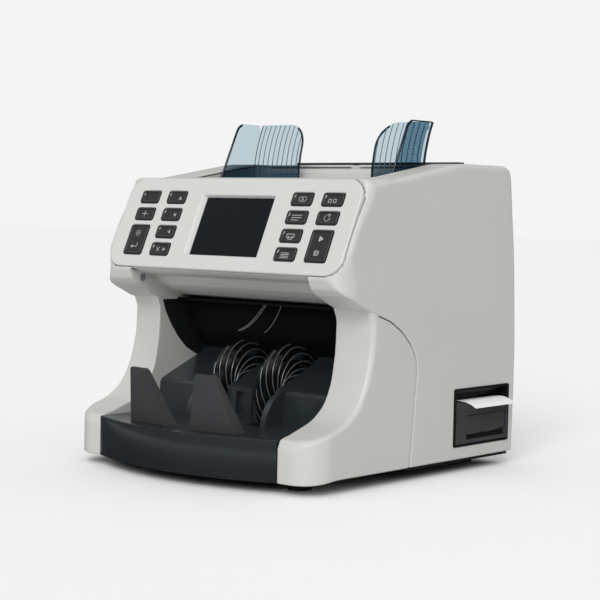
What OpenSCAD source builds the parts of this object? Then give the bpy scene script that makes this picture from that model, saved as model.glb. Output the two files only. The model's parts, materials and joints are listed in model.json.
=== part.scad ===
// Banknote counting machine with a top hopper, a front stacker pocket and a side receipt printer.
// X runs across the machine, the front faces -Y, and Z is up from the surface it stands on.

/* [Body] */
// Width across the side walls
body_w = 256; // [254:0.5:258]
// Height of the feet, which is the height of the casing's lower edge
foot_h = 8; // [6:0.5:9]
// Thickness of the plastic walls
wall = 2.5; // [2:0.1:3]
// Y of the foremost point of the front strip
front_y = -152; // [-154:0.5:-150]

/* [Control panel] */
// Lean of the panel back from vertical, in degrees
panel_lean = 24.2; // [23:0.1:25]
// Width of the panel plate
panel_w = 247; // [245:0.5:248]
// Height of the panel plate, measured along it
panel_h = 79; // [78:0.5:80]
// Width of the display glass that shows
lcd_w = 72.8; // [70:0.1:74]
// Height of the display glass that shows
lcd_h = 49.4; // [48:0.1:50]
// Width of a key
key_w = 20.4; // [19:0.1:20.8]
// Height of a key
key_h = 10.6; // [9:0.1:11]
// Distance from one row of keys to the next
key_pitch = 15.3; // [15:0.1:15.6]

/* [Stacker pocket] */
// Half of the clear width between the inner walls
pocket_hw = 94.6; // [93:0.1:95]
// Height of the tray floor
tray_z = 40; // [39:0.5:41]
// Radius over the fins of a stacker wheel
wheel_r = 39; // [37:0.5:40]
// Half of the distance between the two stacker wheels
wheel_x = 25; // [23:0.5:27]
// Number of fins on a stacker wheel
fins = 13; // [9:1:15]

/* [Hopper] */
// Half of the distance over the two note guides when they are fully apart
guide_hx = 92.5; // [91:0.1:92.6]
// Height of the top of the note guides
guide_top = 282; // [275:0.5:284]

/* [Printer] */
// Length of the printer opening along the side wall
printer_l = 77; // [76:0.5:78]
// Height of the printer opening
printer_h = 46; // [45:0.5:47]
// Width of the receipt paper
paper_w = 57; // [56:0.5:58]

/* [Hidden] */
$fn = 64;
hw = body_w / 2;
gap = 0.3;
// Height of the side walls' lower edge
side_z = 11;
// Turn of the pillars' front faces from straight ahead, in degrees
pillar_turn = 10;
white = [0.86, 0.86, 0.84];
black = [0.06, 0.06, 0.065];
dark = [0.2, 0.2, 0.21];
steel = [0.62, 0.63, 0.65];
rubber = [0.12, 0.12, 0.12];
smoke = [0.35, 0.5, 0.6, 0.6];

// The panel's own frame: x across, y up along the plate, z out of it, with its origin on the top key row.
panel_y = -73.5;
panel_z = 221;
panel_mid = -27.5;
key_cols = [-97.1, -66.8, 66.8, 97.1];

// Side view outlines, as [y, z] points.
seam = [[-60, 131.4], [-40.8, 125.3], [-26.1, 116.9], [-14.3, 106.1], [-7.4, 94.3], [-6.4, 84], [-13.8, side_z]];
rear_line = [[129.9, side_z], [132.4, 60], [132.4, 103], [128.4, 170], [120.4, 236], [115.9, 243.5], [107.4, 247.6]];
top_line = [[47.3, 247.6], [-39.8, 232.6], [-68.5, 232.4]];
chin_line = [[-102, 158], [-98.5, 149.5], [-93, 145], [-70.3, 134.5]];
inner_edge = [[-70.3, 134], [-66.2, 125.3], [-67.2, 101.3], [-71.1, 78.2], [-79, 62], [-93, 51], [-115, 44], [-128, 39]];

// Axes of the shafts, as [y, z].
stacker_c = [-40, 62];
transport_c = [-6, 122];
pinch_c = [21.6, 122];
feed_c = [-14, 176];
pickup_c = [18, 189];
motor_c = [78, 130];
shaft_r = 4;
pulley_r = 10;
pulley_w = 3.2;
stacker_pulley_r = 20;
// Lanes of the belts, as the outer x of their pulleys.
lane_a = -104.8;
lane_b = -108.4;
lane_c = -112;
door_c = [127.2, 92.4];
door_pin_r = 1.15;
knob_y = 81;
knob_stem_r = 4;
plate_x = 98;
plate_t = 2;

// Printer, on the right side wall.
printer_y = 44.8;
printer_z = 21.4;
door_hinge = [hw - 0.8, printer_z + 2.6];
lever_pin = [hw - 1, printer_z + 23.2];
platen_c = [hw - 8.6, printer_z + 31];
slot_z = printer_z + 36.6;

// Helpers -----------------------------------------------------------------------------------------

// Draws a [y, z] outline as a slab from x0 to x1.
module along_x(x0, x1) {
    translate([x0, 0, 0]) rotate([90, 0, 90]) linear_extrude(x1 - x0) children();
}

module mirrored() {
    children();
    mirror([1, 0, 0]) children();
}

module on_panel() {
    translate([0, panel_y, panel_z]) rotate([90 - panel_lean, 0, 0]) children();
}

module rounded_rect(w, h, r) {
    square([w - 2 * r, h], center = true);
    square([w, h - 2 * r], center = true);
    for (sx = [-1, 1], sy = [-1, 1]) translate([sx * (w / 2 - r), sy * (h / 2 - r)]) circle(r);
}

module rod(c, r, x0, x1) {
    along_x(x0, x1) translate(c) circle(r);
}

// Casing ------------------------------------------------------------------------------------------

function cover_outline() = concat(seam, rear_line, top_line, chin_line);

module cover_inside() {
    polygon([[-66, 137], [-96, 151], [-98, 159], [-66.5, 229.8], [-39.2, 230], [47.7, 245.1], [106.9, 245.1],
        [113.8, 241.8], [118, 235], [125.9, 169.6], [129.9, 102.8], [129.9, 60], [127.4, 0], [-45, 0],
        [-45, 100], [-66, 110]]);
}

module main_cover() {
    color(white) {
        cover_shell();
        knob_well();
        mirrored() door_lug();
    }
}

// Cup that the gap knob turns in.
module knob_well() {
    translate([0, knob_y, 238.4]) difference() {
        cylinder(r = 10.2, h = 7.4);
        translate([0, 0, 2]) cylinder(r = 8.2, h = 10);
        translate([0, 0, -1]) cylinder(r = knob_stem_r + 0.05, h = 10);
    }
}

// Lug and pin that a knuckle of the rear door turns on.
module door_lug() {
    along_x(70.6, 74) {
        translate(door_c) circle(2.4);
        polygon([[119.9, 79], [130.4, 79], [130.4, 82], [123, 87.6], door_c + [-1.6, -1.7], door_c + [-0.5, 2.2],
            [119.9, 90]]);
    }
    rod(door_c, door_pin_r, 59, 72);
}

// Room above the pocket, with a rounded belly at its back; grown by the wall for the inner surface.
belly = [[-98.9, 158.3], [-84.7, 153.9], [-72, 152.5], [-68.5, 148.1], [-65, 144.4], [-56.3, 140], [-45.8, 136.6],
    [-30, 133.2], [-20, 131.5]];
belly_inner = [[-98.2, 160.8], [-84, 156.4], [-70.6, 155], [-66.4, 149.6], [-63.5, 146.3], [-55.2, 142.3],
    [-45.1, 139], [-29.5, 135.7], [-20, 134]];

module scoop(line, half_w) {
    along_x(-half_w, half_w) polygon(concat([[-125, line[0][1]]], line, [[-20, 90], [-125, 90]]));
}

module cover_shell() {
    difference() {
        along_x(-hw, hw) polygon(cover_outline());
        scoop(belly, pocket_hw);
        difference() {
            along_x(-hw + wall, hw - wall) cover_inside();
            scoop(belly_inner, pocket_hw + wall);
        }
        // window for the panel plate
        on_panel() translate([0, panel_mid, -9]) linear_extrude(20)
            rounded_rect(panel_w + 2 * gap, panel_h + 2 * gap, 16);
        // hopper mouth
        translate([-95.6, -30.6, 190]) cube([191.2, 101, 70]);
        // opening for the rear door
        along_x(-88.5, 88.5) polygon([[91.4, 86.6], [129.9, 86.6], [141.4, 95.8], [141.4, 260], [91.4, 260]]);
        // opening for the printer
        translate([hw - 10, printer_y - gap, printer_z - gap]) cube([20, printer_l + 2 * gap, printer_h + 2 * gap]);
        // cut-outs for the mains inlet and the ports
        translate([-100.3, 121.4, 17.7]) cube([63.6, 20, 36.6]);
        translate([-20.5, 121.4, 21.5]) cube([71, 20, 29]);
        // well for the gap knob
        translate([0, knob_y, 230]) cylinder(r = 8.2, h = 20);
        // ventilation slots in the left wall
        for (i = [0:7]) translate([-hw - 1, 36 + i * 8, 150]) cube([10, 3.5, 36]);
    }
}

// The part of the side view that belongs to the front frame: everything in front of the seam.
module in_front_of_seam() {
    polygon(concat([[-180, foot_h], [-180, 150], [-75, 150], [-75, 134], [-66, 132.4]],
        [for (i = [0:5]) seam[i] - [gap, i < 3 ? gap : 0]], [seam[6] - [gap, 0], [-100, side_z], [-131, foot_h]]));
}

// The pillar's front face runs back a little from the pocket's edge to the side wall.
module pillar(inset) {
    front = [for (p = inner_edge) p + [inset, p[1] < 60 ? -inset : 0]];
    outline = concat(front, [[-128 + inset, 20], [60, 20], [60, 150], [-70.3 + inset, 150]]);
    translate([pocket_hw, 0, 0]) rotate([0, 0, pillar_turn]) along_x(-200, 200)
        polygon([for (p = outline) [p[0] * cos(pillar_turn), p[1]]]);
}

module foot_corner(inset) {
    corner_r = 24;
    translate([0, 0, foot_h - inset]) linear_extrude(tray_z - foot_h) {
        translate([hw - corner_r, -107.4]) circle(corner_r - inset);
        translate([hw - corner_r, -107.4]) square([corner_r + 5, 120]);
    }
}

module frame_side(inset) {
    intersection() {
        union() {
            pillar(inset);
            foot_corner(inset);
        }
        along_x(pocket_hw + inset, hw - inset) translate([-200, foot_h - inset]) square([260, 140]);
    }
}

module front_frame() {
    color(white) mirrored() intersection() {
        difference() {
            frame_side(0);
            frame_side(wall);
            // clearance for the stacker shaft
            rod(stacker_c, 6, pocket_hw - 1, pocket_hw + wall + 1);
        }
        along_x(0, 200) in_front_of_seam();
    }
}

module control_panel() {
    color(white) on_panel() difference() {
        union() {
            translate([0, panel_mid, -3]) linear_extrude(3) rounded_rect(panel_w, panel_h, 15.7);
            translate([0, panel_mid, -1]) linear_extrude(1.8) difference() {
                rounded_rect(panel_w - 5, panel_h - 5, 13.5);
                rounded_rect(panel_w - 9, panel_h - 9, 11.5);
            }
            // bosses that carry the keypad board
            for (x = [-52, 52], y = [-60, 5]) translate([x, y, -5.7]) cylinder(r = 3, h = 3);
        }
        translate([0, -28.5, -4]) linear_extrude(6) rounded_rect(lcd_w, lcd_h, 1.5);
        for (k = key_table()) translate([k[1], k[2], -4]) linear_extrude(6)
            rounded_rect(key_w + 2 * gap, k[3] + 2 * gap, 2.3);
    }
}

module display() {
    color(black) on_panel() translate([0, -28.5, -5.4]) linear_extrude(2.2) rounded_rect(lcd_w + 6, lcd_h + 6, 2);
}

module keypad_board() {
    color([0.05, 0.3, 0.15]) on_panel() {
        translate([0, panel_mid, -7.4]) linear_extrude(1.6) difference() {
            rounded_rect(212, 70, 3);
            for (x = [-52, 52], y = [-32.5, 32.5]) translate([x, y]) circle(1.5);
        }
    }
}

// Keys --------------------------------------------------------------------------------------------

function row_y(r) = -key_h / 2 - r * key_pitch;
tall_h = key_h + key_pitch;
function key_table() = [
    ["key_num1", key_cols[0], row_y(0), key_h], ["key_add", key_cols[0], row_y(1), key_h],
    ["key_set", key_cols[0], row_y(2.5), tall_h], ["key_up", key_cols[1], row_y(0), key_h],
    ["key_down", key_cols[1], row_y(1), key_h], ["key_left", key_cols[1], row_y(2), key_h],
    ["key_clear", key_cols[1], row_y(3), key_h], ["key_currency", key_cols[2], row_y(0), key_h],
    ["key_report", key_cols[2], row_y(1), key_h], ["key_print", key_cols[2], row_y(2), key_h],
    ["key_batch", key_cols[2], row_y(3), key_h], ["key_mode", key_cols[3], row_y(0), key_h],
    ["key_auto", key_cols[3], row_y(1), key_h], ["key_start", key_cols[3], row_y(2.5), tall_h]];

module key(name) {
    k = [for (row = key_table()) if (row[0] == name) row][0];
    color(dark) on_panel() translate([k[1], k[2], 0]) {
        translate([0, 0, -3.6]) linear_extrude(5) rounded_rect(key_w, k[3], 2);
        translate([0, 0, -4.6]) cylinder(r = 2.5, h = 2);
    }
}

// Stacker pocket ----------------------------------------------------------------------------------

function strip_y(x) = front_y - 0.4 + x * x / 425;

module front_strip() {
    steps = 12;
    end = pocket_hw - gap;
    outer = [for (i = [0:steps]) let (x = -end + i * 2 * end / steps) [x, strip_y(x)]];
    inner = [for (i = [steps:-1:0]) let (x = -end + i * 2 * end / steps) [x, strip_y(x) + wall]];
    color(black) {
        translate([0, 0, foot_h]) linear_extrude(tray_z - foot_h) polygon(concat(outer, inner));
        mirrored() translate([pocket_hw - 12, -135, foot_h + 3]) cube([wall, 13, 20]);
    }
}

// Floor, front step and rising deck of the tray, as one sheet seen from the side.
tray_top = [[-128, tray_z], [-66, tray_z], [-64.6, 64], [-62, 66.6], [-18, 85], [-8, 92]];

module stacker_tray() {
    steps = 12;
    lip = [for (i = [0:steps]) let (x = -pocket_hw + gap + i * 2 * (pocket_hw - gap) / steps) [x, strip_y(x) + wall + gap]];
    color(black) difference() {
        union() {
            along_x(-pocket_hw + gap, pocket_hw - gap)
                polygon(concat(tray_top, [[-8, 89], [-18, 82], [-61, 63.8], [-62, 62], [-63, tray_z - wall], [-128, tray_z - wall]]));
            translate([0, 0, tray_z - wall]) linear_extrude(wall)
                polygon(concat(lip, [[pocket_hw - gap, -127], [-pocket_hw + gap, -127]]));
            // curved ribs beside the wheels
            mirrored() along_x(37.8, 43.2) intersection() {
                translate([-59, tray_z - 1]) circle(28);
                translate([-90, tray_z - 0.5]) square([31, 27]);
            }
            // centre block that carries the pocket sensor
            along_x(-11, 11) polygon([[-68.5, tray_z - 1], [-67, 66], [-62, 68], [-60, 60], [-62, tray_z - 1]]);
        }
        mirrored() translate([wheel_x - 7.5, -84, 20]) cube([15, 90, 90]);
        translate([-5.5, -75, 45]) cube([11, 11, 18]);
    }
}

// A finger that narrows and leans forward as it rises, with a wedge-shaped back, turned to follow the strip.
module note_stop() {
    base_w = 42.3;
    top_w = 18;
    rise = 44;
    translate([34.5, -137.6, tray_z + 0.2]) rotate([0, 0, 7]) intersection() {
        translate([0, 20, 0]) rotate([90, 0, 0]) linear_extrude(50)
            polygon([[-base_w / 2, 0], [base_w / 2, 0], [top_w / 2 + 1, rise - 1.5], [top_w / 2 - 1, rise],
                [1 - top_w / 2, rise], [-top_w / 2 - 1, rise - 1.5]]);
        along_x(-30, 30) polygon([[0, 0], [-10, rise], [-6.5, rise], [14, 0]]);
    }
}

module note_stop_right() {
    color(dark) note_stop();
}

module note_stop_left() {
    color(dark) mirror([1, 0, 0]) note_stop();
}

module fin_2d() {
    ring = 26;
    offset_c = 13.4;
    difference() {
        translate([offset_c, 0]) circle(ring + 0.6);
        translate([offset_c + 0.6, 0]) circle(ring - 0.6);
        translate([-60, -60]) square([120, 60]);
    }
}

module stacker_wheel(x) {
    color(black) along_x(x - 5, x + 5) translate(stacker_c) difference() {
        union() {
            circle(14);
            for (i = [0:fins - 1]) rotate(106.8 + i * 360 / fins) intersection() {
                fin_2d();
                circle(wheel_r);
            }
        }
        circle(shaft_r);
    }
}

module stacker_wheel_left() {
    stacker_wheel(-wheel_x);
}

module stacker_wheel_right() {
    stacker_wheel(wheel_x);
}

module stacker_shaft() {
    color(steel) {
        rod(stacker_c, shaft_r, lane_a, plate_x + 3);
        rod(stacker_c, stacker_pulley_r, lane_a, lane_a + pulley_w);
    }
}

module throat_guide() {
    // Black ceiling and back plate of the pocket, with flexible strips that hold the notes down.
    color(black) {
        along_x(-pocket_hw + gap, pocket_hw - gap)
            polygon([[-46, 131], [-39, 131], [-33, 127], [-27, 106], [-24.6, 106], [-30.6, 128.4], [-38, 133.4], [-46, 133.4]]);
        for (x = [4, 20]) along_x(x, x + 5)
            polygon([[-45.5, 132], [-52, 127.6], [-74, 112.6], [-73.4, 111.8], [-51, 125.6], [-43, 131.5]]);
    }
}

// Chassis and drive -------------------------------------------------------------------------------

module base_plate() {
    color(steel) translate([0, 0, foot_h + 0.3]) difference() {
        linear_extrude(2) mirrored() polygon([[0, -112], [pocket_hw - 0.4, -112], [pocket_hw - 0.4, -12],
            [hw - wall - 1, -12], [hw - wall - 1, 126.4], [0, 126.4]]);
        // ventilation slots
        for (i = [0:9]) mirrored() translate([30, 18 + i * 8, -1]) cube([30, 3, 10]);
    }
}

module feet() {
    color(rubber) for (x = [-90, 90], y = [-100, 110]) translate([x, y, 0]) {
        cylinder(r = 9, h = foot_h - 0.2);
        cylinder(r = 3, h = foot_h + 0.3);
    }
}

module side_plate() {
    along_x(plate_x, plate_x + plate_t) difference() {
        polygon([[-60, foot_h + 2.3], [112, foot_h + 2.3], [112, 200], [75, 200], [60, 190], [40, 205], [-26, 192],
            [-30, 130], [-58, 96]]);
        for (c = [stacker_c, transport_c, pinch_c, feed_c, pickup_c]) translate(c) circle(shaft_r + 0.05);
        translate(motor_c) circle(6);
        // clearance round the printer
        translate([printer_y - 2, 0]) square([100, printer_z + printer_h + 2]);
    }
}

module side_plates() {
    color(steel) mirrored() side_plate();
}

module drive_shaft(c, lanes) {
    rod(c, shaft_r, min(lanes) - 0.2, plate_x + 3);
    for (x = lanes) rod(c, pulley_r, x, x + pulley_w);
}

module tyres(c, r, xs, w) {
    color(rubber) for (x = xs) along_x(x - w / 2, x + w / 2) translate(c) difference() {
        circle(r);
        circle(shaft_r);
    }
}

module pickup_shaft() {
    color(steel) drive_shaft(pickup_c, [lane_c]);
}

module pickup_tyres() {
    tyres(pickup_c, 14, [-30, 30], 12);
}

module feed_shaft() {
    color(steel) drive_shaft(feed_c, [lane_c, lane_b]);
}

module feed_tyres() {
    tyres(feed_c, 19, [-45, -15, 15, 45], 14);
}

module transport_shaft() {
    color(steel) drive_shaft(transport_c, [lane_c, lane_b, lane_a]);
}

module transport_tyres() {
    tyres(transport_c, 16, [-70, -30, 30, 70], 16);
}

module pinch_rollers() {
    color(steel) {
        rod(pinch_c, shaft_r, -plate_x - 3, plate_x + 3);
        for (x = [-70, -30, 30, 70]) rod(pinch_c, 11, x - 8, x + 8);
    }
}

module sensor_bars() {
    color(black) {
        translate([-93, 11.6, 138.5]) cube([186, 24, 21]);
        translate([-93, -24, 141]) cube([186, 32, 13.5]);
    }
}

module drive_motor() {
    color(dark) difference() {
        union() {
            rod(motor_c, 26, -96, -46);
            rod(motor_c, 9, -46, -43);
        }
        rod(motor_c, 3.05, -97, -60);
    }
}

module motor_pulley() {
    color(steel) {
        rod(motor_c, 3, lane_c + 0.2, -62);
        rod(motor_c, pulley_r, lane_c, lane_c + pulley_w);
    }
}

// The outline of an open belt round two pulleys.
module belt_shape(a, ra, b, rb) {
    steps = 24;
    lean = asin((ra - rb) / norm(b - a));
    heading = atan2(b[1] - a[1], b[0] - a[0]);
    round_a = [for (i = [0:steps]) heading + 90 - lean + i * (180 + 2 * lean) / steps];
    round_b = [for (i = [0:steps]) heading - 90 + lean + i * (180 - 2 * lean) / steps];
    polygon(concat([for (t = round_a) a + ra * [cos(t), sin(t)]], [for (t = round_b) b + rb * [cos(t), sin(t)]]));
}

module belt(x, a, ra, b, rb) {
    clear = 0.35;
    along_x(x + 0.2, x + pulley_w - 0.2) difference() {
        belt_shape(a, ra + clear + 1.2, b, rb + clear + 1.2);
        belt_shape(a, ra + clear, b, rb + clear);
    }
}

module drive_belts() {
    color(rubber) {
        belt(lane_c, transport_c, pulley_r, motor_c, pulley_r);
        belt(lane_b, transport_c, pulley_r, feed_c, pulley_r);
        belt(lane_c, feed_c, pulley_r, pickup_c, pulley_r);
        belt(lane_a, transport_c, pulley_r, stacker_c, stacker_pulley_r);
    }
}

module main_board() {
    color([0.05, 0.3, 0.15]) {
        translate([103.5, 4, 75]) cube([1.6, 110, 110]);
        for (y = [19, 51, 83], z = [90, 130]) translate([105, y, z]) cube([3, 18, 18]);
        for (y = [14, 104], z = [82, 178]) along_x(plate_x + plate_t, 103.6) translate([y, z]) circle(2.5);
    }
}

module power_supply() {
    color([0.2, 0.25, 0.2]) {
        translate([-92, 30, foot_h + 5]) cube([100, 70, 1.6]);
        translate([-85, 38, foot_h + 6.5]) cube([30, 30, 26]);
        translate([-45, 40, foot_h + 6.5]) cube([22, 50, 18]);
        translate([-10, 50, foot_h + 6]) cylinder(r = 8, h = 30);
        for (x = [-88, 4], y = [34, 96]) translate([x, y, foot_h + 2.3]) cylinder(r = 2.5, h = 2.8);
    }
}

module mains_inlet() {
    // Appliance inlet with three pins, in one flange with the rocker switch.
    color(black) difference() {
        union() {
            translate([-100, 128.8, 18]) cube([63, 3.4, 36]);
            translate([-98, 103.4, 20]) cube([59, 27, 32]);
        }
        translate([-96, 111.4, 24]) cube([28, 30, 24]);
        translate([-61.2, 118.9, 24.2]) cube([18.4, 30, 23.6]);
        rod([124.4, 36], 1.25, -62.5, -41.5);
    }
    color(steel) for (x = [-89, -82, -75]) translate([x - 1, 110.4, x == -82 ? 38 : 32]) cube([2, 16, 4]);
}

module power_rocker() {
    color(dark) {
        along_x(-60.8, -43.2)
            polygon([[122.9, 27], [130.4, 26.2], [131.8, 26.6], [130.6, 36], [132.4, 45.2], [130.9, 45.6], [122.9, 44]]);
        rod([124.4, 36], 1.2, -62.2, -41.8);
    }
}

module port_plate() {
    color(dark) difference() {
        translate([-20.2, 128.4, 21.8]) cube([70.4, 3, 28.4]);
        translate([-14, 121.4, 29]) cube([14, 20, 12]);
        translate([6, 121.4, 29]) cube([9, 20, 12]);
        translate([22, 121.4, 29]) cube([22, 20, 11]);
    }
}

// Hopper ------------------------------------------------------------------------------------------

module hopper_tray() {
    // Folded sheet with side walls: front lip, feed wall, floor with roller slots and a leaning back.
    color(white) difference() {
        union() {
            along_x(-95.2, 95.2) polygon([[-30, 229.5], [-22, 229.5], [-8, 203], [28, 198.5], [36, 206],
                [56, 240.5], [60, 243], [70, 244.6], [70, 242], [62, 240.6], [58, 238.5], [38.4, 204.4], [29, 195.8],
                [-9.6, 200.5], [-23.6, 227], [-30, 227]]);
            mirrored() along_x(93.7, 95.2) polygon([[-30, 232], [52, 245.5], [70, 245.5], [70, 242], [58, 238.5],
                [38.4, 204.4], [29, 195.8], [-9.6, 200.5], [-23.6, 227], [-30, 227]]);
        }
        mirrored() translate([23, 0, 190]) cube([14, 36, 14]);
        // slot that the guides' feet run in
        mirrored() translate([20, 30, 219]) cube([73, 40, 5]);
    }
}

module guide_rail() {
    color(steel) rod([60, 218], 3, -plate_x, plate_x);
    color(steel) mirrored() along_x(plate_x - 2.2, plate_x) translate([50, 195]) square([16, 30]);
}

// The back of a guide bends away from the notes along an arc.
function guide_back(z) = 42 + 110 - sqrt(110 * 110 - (z - 232) * (z - 232));

module note_guide() {
    t = 2.2;
    x_in = 39.3;
    zs = [for (i = [0:10]) 232 + i * (guide_top - 232) / 10];
    lower = [[30, 205], [42, 229]];
    front = concat(lower, [for (z = zs) [guide_back(z), z]]);
    back = [for (i = [len(front) - 1:-1:0]) front[i] + [t, 0]];
    difference() {
        union() {
            along_x(x_in, guide_hx) polygon(concat(front, back));
            // ribs on the back panel
            for (i = [0:8]) along_x(x_in + 3 + i * 5.4, x_in + 4 + i * 5.4)
                polygon(concat([for (p = front) p - [0.8, 0]], [for (p = back) p - [1, 0]]));
            // side plate
            along_x(guide_hx - t, guide_hx) polygon(concat(front, [[29, guide_top - 0.6], [25, guide_top - 2.4],
                [21, guide_top - 8], [2.6, 237.5], [-9, 215], [-6, 206.5], [16, 204], [29, 203]]));
        }
        // round the top inner corner of the back panel
        translate([x_in - 1, 30, guide_top - 20]) cube([21, 40, 30]);
    }
    intersection() {
        union() {
            along_x(x_in, x_in + 22) polygon(concat(front, back));
            for (i = [0:3]) along_x(x_in + 3 + i * 5.4, x_in + 4 + i * 5.4)
                polygon(concat([for (p = front) p - [0.8, 0]], [for (p = back) p - [1, 0]]));
        }
        translate([x_in + 20, 80, guide_top - 20]) rotate([90, 0, 0]) cylinder(r = 20, h = 60);
        translate([x_in - 1, 20, guide_top - 20]) cube([22, 60, 30]);
    }
    // foot through the slot, and the collar on the rail
    translate([62, 36, 220.3]) cube([18, 19.6, 2.4]);
    along_x(62, 80) difference() {
        translate([60, 218]) circle(6);
        translate([60, 218]) circle(3.06);
    }
}

module note_guide_right() {
    color(smoke) note_guide();
}

module note_guide_left() {
    color(smoke) mirror([1, 0, 0]) note_guide();
}

module gap_knob() {
    color(black) translate([0, knob_y, 0]) {
        difference() {
            translate([0, 0, 241]) cylinder(r = 7.6, h = 6);
            translate([0, 0, 247]) cube([2.4, 12, 2.4], center = true);
        }
        translate([0, 0, 222]) cylinder(r = knob_stem_r, h = 20);
    }
}

// Rear door ---------------------------------------------------------------------------------------

module rear_door() {
    color(white) {
        along_x(-88, 88) polygon([[132.4, 90.6], [132.4, 103], [128.4, 170], [120.4, 236], [115.9, 243.5],
            [107.4, 247.6], [91.9, 247.6], [91.9, 245.1], [106.9, 245.1], [113.8, 241.8], [118, 235], [125.9, 169.6],
            [129.9, 102.8], [129.9, 90.6]]);
        // hinge knuckles
        for (x = [-70, 58]) along_x(x, x + 12) difference() {
            union() {
                translate(door_c) circle(2.6);
                translate(door_c - [1, 2.6]) square([4, 5.2]);
            }
            translate(door_c) circle(door_pin_r + 0.05);
        }
    }
}

module door_handle() {
    color(black) translate([-88, 97.4, 247.6]) cube([176, 9, 3]);
}

// Printer -----------------------------------------------------------------------------------------

module printer_housing() {
    y1 = printer_y + printer_l;
    z1 = printer_z + printer_h;
    color(dark) difference() {
        translate([hw - 54, printer_y, printer_z]) cube([54.6, printer_l, printer_h]);
        // roll well, open to the side wall
        translate([hw - 52, printer_y + 8, printer_z + 2]) cube([60, printer_l - 16, slot_z - printer_z - 0.2]);
        // door recess
        translate([hw - 4.2, printer_y + 1.4, printer_z + 0.6]) cube([10, printer_l - 2.8, slot_z - printer_z - 1.8]);
        // sloped recess above the paper slot
        along_y(printer_y + 1.4, y1 - 1.4)
            polygon([[hw + 2, slot_z - 2], [hw + 2, z1 - 1.4], [hw - 1, z1 - 1.4], [hw - 9, slot_z + 3], [hw - 9, slot_z - 2]]);
    }
    // pins that the door turns on
    color(dark) for (y = [printer_y + 1, y1 - 4]) along_y(y, y + 3) translate(door_hinge) circle(0.9);
}

// Draws an [x, z] outline as a slab from y0 to y1.
module along_y(y0, y1) {
    translate([0, y1, 0]) rotate([90, 0, 0]) linear_extrude(y1 - y0) children();
}

module printer_door() {
    y0 = printer_y + 1.7;
    y1 = printer_y + printer_l - 1.7;
    color(dark) {
        difference() {
            union() {
                translate([hw - 3.6, y0, door_hinge[1]]) cube([4.4, y1 - y0, slot_z - 1.4 - door_hinge[1]]);
                along_y(y0, y1) translate(door_hinge) circle(1.6);
            }
            translate([hw - 2.2, printer_y + 16, printer_z + 4.6]) cube([6, 57, 19.8]);
            along_y(y0 - 1, y1 + 1) translate(door_hinge) circle(0.95);
            along_y(printer_y + 15, printer_y + 74) translate(lever_pin) circle(0.75);
        }
        // arms that hold the platen roller
        for (y = [10.4, 64.6]) along_y(printer_y + y, printer_y + y + 2) difference() {
            polygon([for (p = [[-3, 15.6], [-3, 33], [-11, 33.2], [-12.4, 27.6]]) [hw + p[0], printer_z + p[1]]]);
            translate(platen_c) circle(1.55);
        }
    }
}

module printer_lever() {
    color(dark) {
        difference() {
            translate([hw - 1.8, printer_y + 16.4, printer_z + 8.4]) cube([1.6, 56.2, 15.4]);
            translate([hw - 0.9, printer_y + 40, printer_z + 5.8]) rotate([0, 90, 0]) cylinder(r = 7, h = 3);
        }
        along_y(printer_y + 15.3, printer_y + 73.7) translate(lever_pin) circle(0.7);
    }
}

module platen_roller() {
    color(rubber) along_y(printer_y + 13, printer_y + 64) translate(platen_c) circle(4.4);
    color(steel) along_y(printer_y + 9.5, printer_y + 67.5) translate(platen_c) circle(1.5);
}

module paper_roll() {
    color([0.95, 0.95, 0.93]) along_y(printer_y + 10, printer_y + 10 + paper_w) translate([hw - 30, printer_z + 21.2]) difference() {
        circle(15.5);
        circle(6);
    }
}

module paper_slip() {
    slip = [[-8.6, 35.7], [-3, 36.2], [2, 36], [8, 34.2], [13, 31.6], [13.1, 31.9], [8.1, 34.55], [2.1, 36.4],
        [-3, 36.6], [-8.6, 36.1]];
    color([0.97, 0.97, 0.96]) along_y(printer_y + 11, printer_y + 11 + paper_w)
        polygon([for (p = slip) [hw + p[0], printer_z + p[1]]]);
}

// Fasteners ---------------------------------------------------------------------------------------

module cover_screws() {
    color(steel) {
        for (x = [-60, 60], y = [-80, 100]) translate([x, y, foot_h - 1.4]) cylinder(r = 3, h = 1.7);
        translate([84, -25, foot_h - 2.2]) cylinder(r = 3.2, h = 2.5);
    }
}

main_cover();
front_frame();
control_panel();
display();
keypad_board();
front_strip();
stacker_tray();
note_stop_left();
note_stop_right();
base_plate();
feet();
side_plates();
hopper_tray();
guide_rail();
note_guide_left();
note_guide_right();
stacker_shaft();
stacker_wheel_left();
stacker_wheel_right();
pickup_shaft();
pickup_tyres();
feed_shaft();
feed_tyres();
transport_shaft();
transport_tyres();
pinch_rollers();
sensor_bars();
drive_motor();
motor_pulley();
drive_belts();
main_board();
power_supply();
mains_inlet();
power_rocker();
port_plate();
rear_door();
door_handle();
gap_knob();
printer_housing();
printer_door();
printer_lever();
platen_roller();
paper_roll();
paper_slip();
throat_guide();
cover_screws();
key("key_num1");  // key_num1
key("key_add");  // key_add
key("key_set");  // key_set
key("key_up");  // key_up
key("key_down");  // key_down
key("key_left");  // key_left
key("key_clear");  // key_clear
key("key_currency");  // key_currency
key("key_report");  // key_report
key("key_print");  // key_print
key("key_batch");  // key_batch
key("key_mode");  // key_mode
key("key_auto");  // key_auto
key("key_start");  // key_start
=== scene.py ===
"""Banknote counting machine: hopper with smoked guides, control panel, stacker pocket and receipt printer."""
import json
import math

import bmesh
import bpy
import numpy as np
from mathutils import Matrix, Vector


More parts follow.
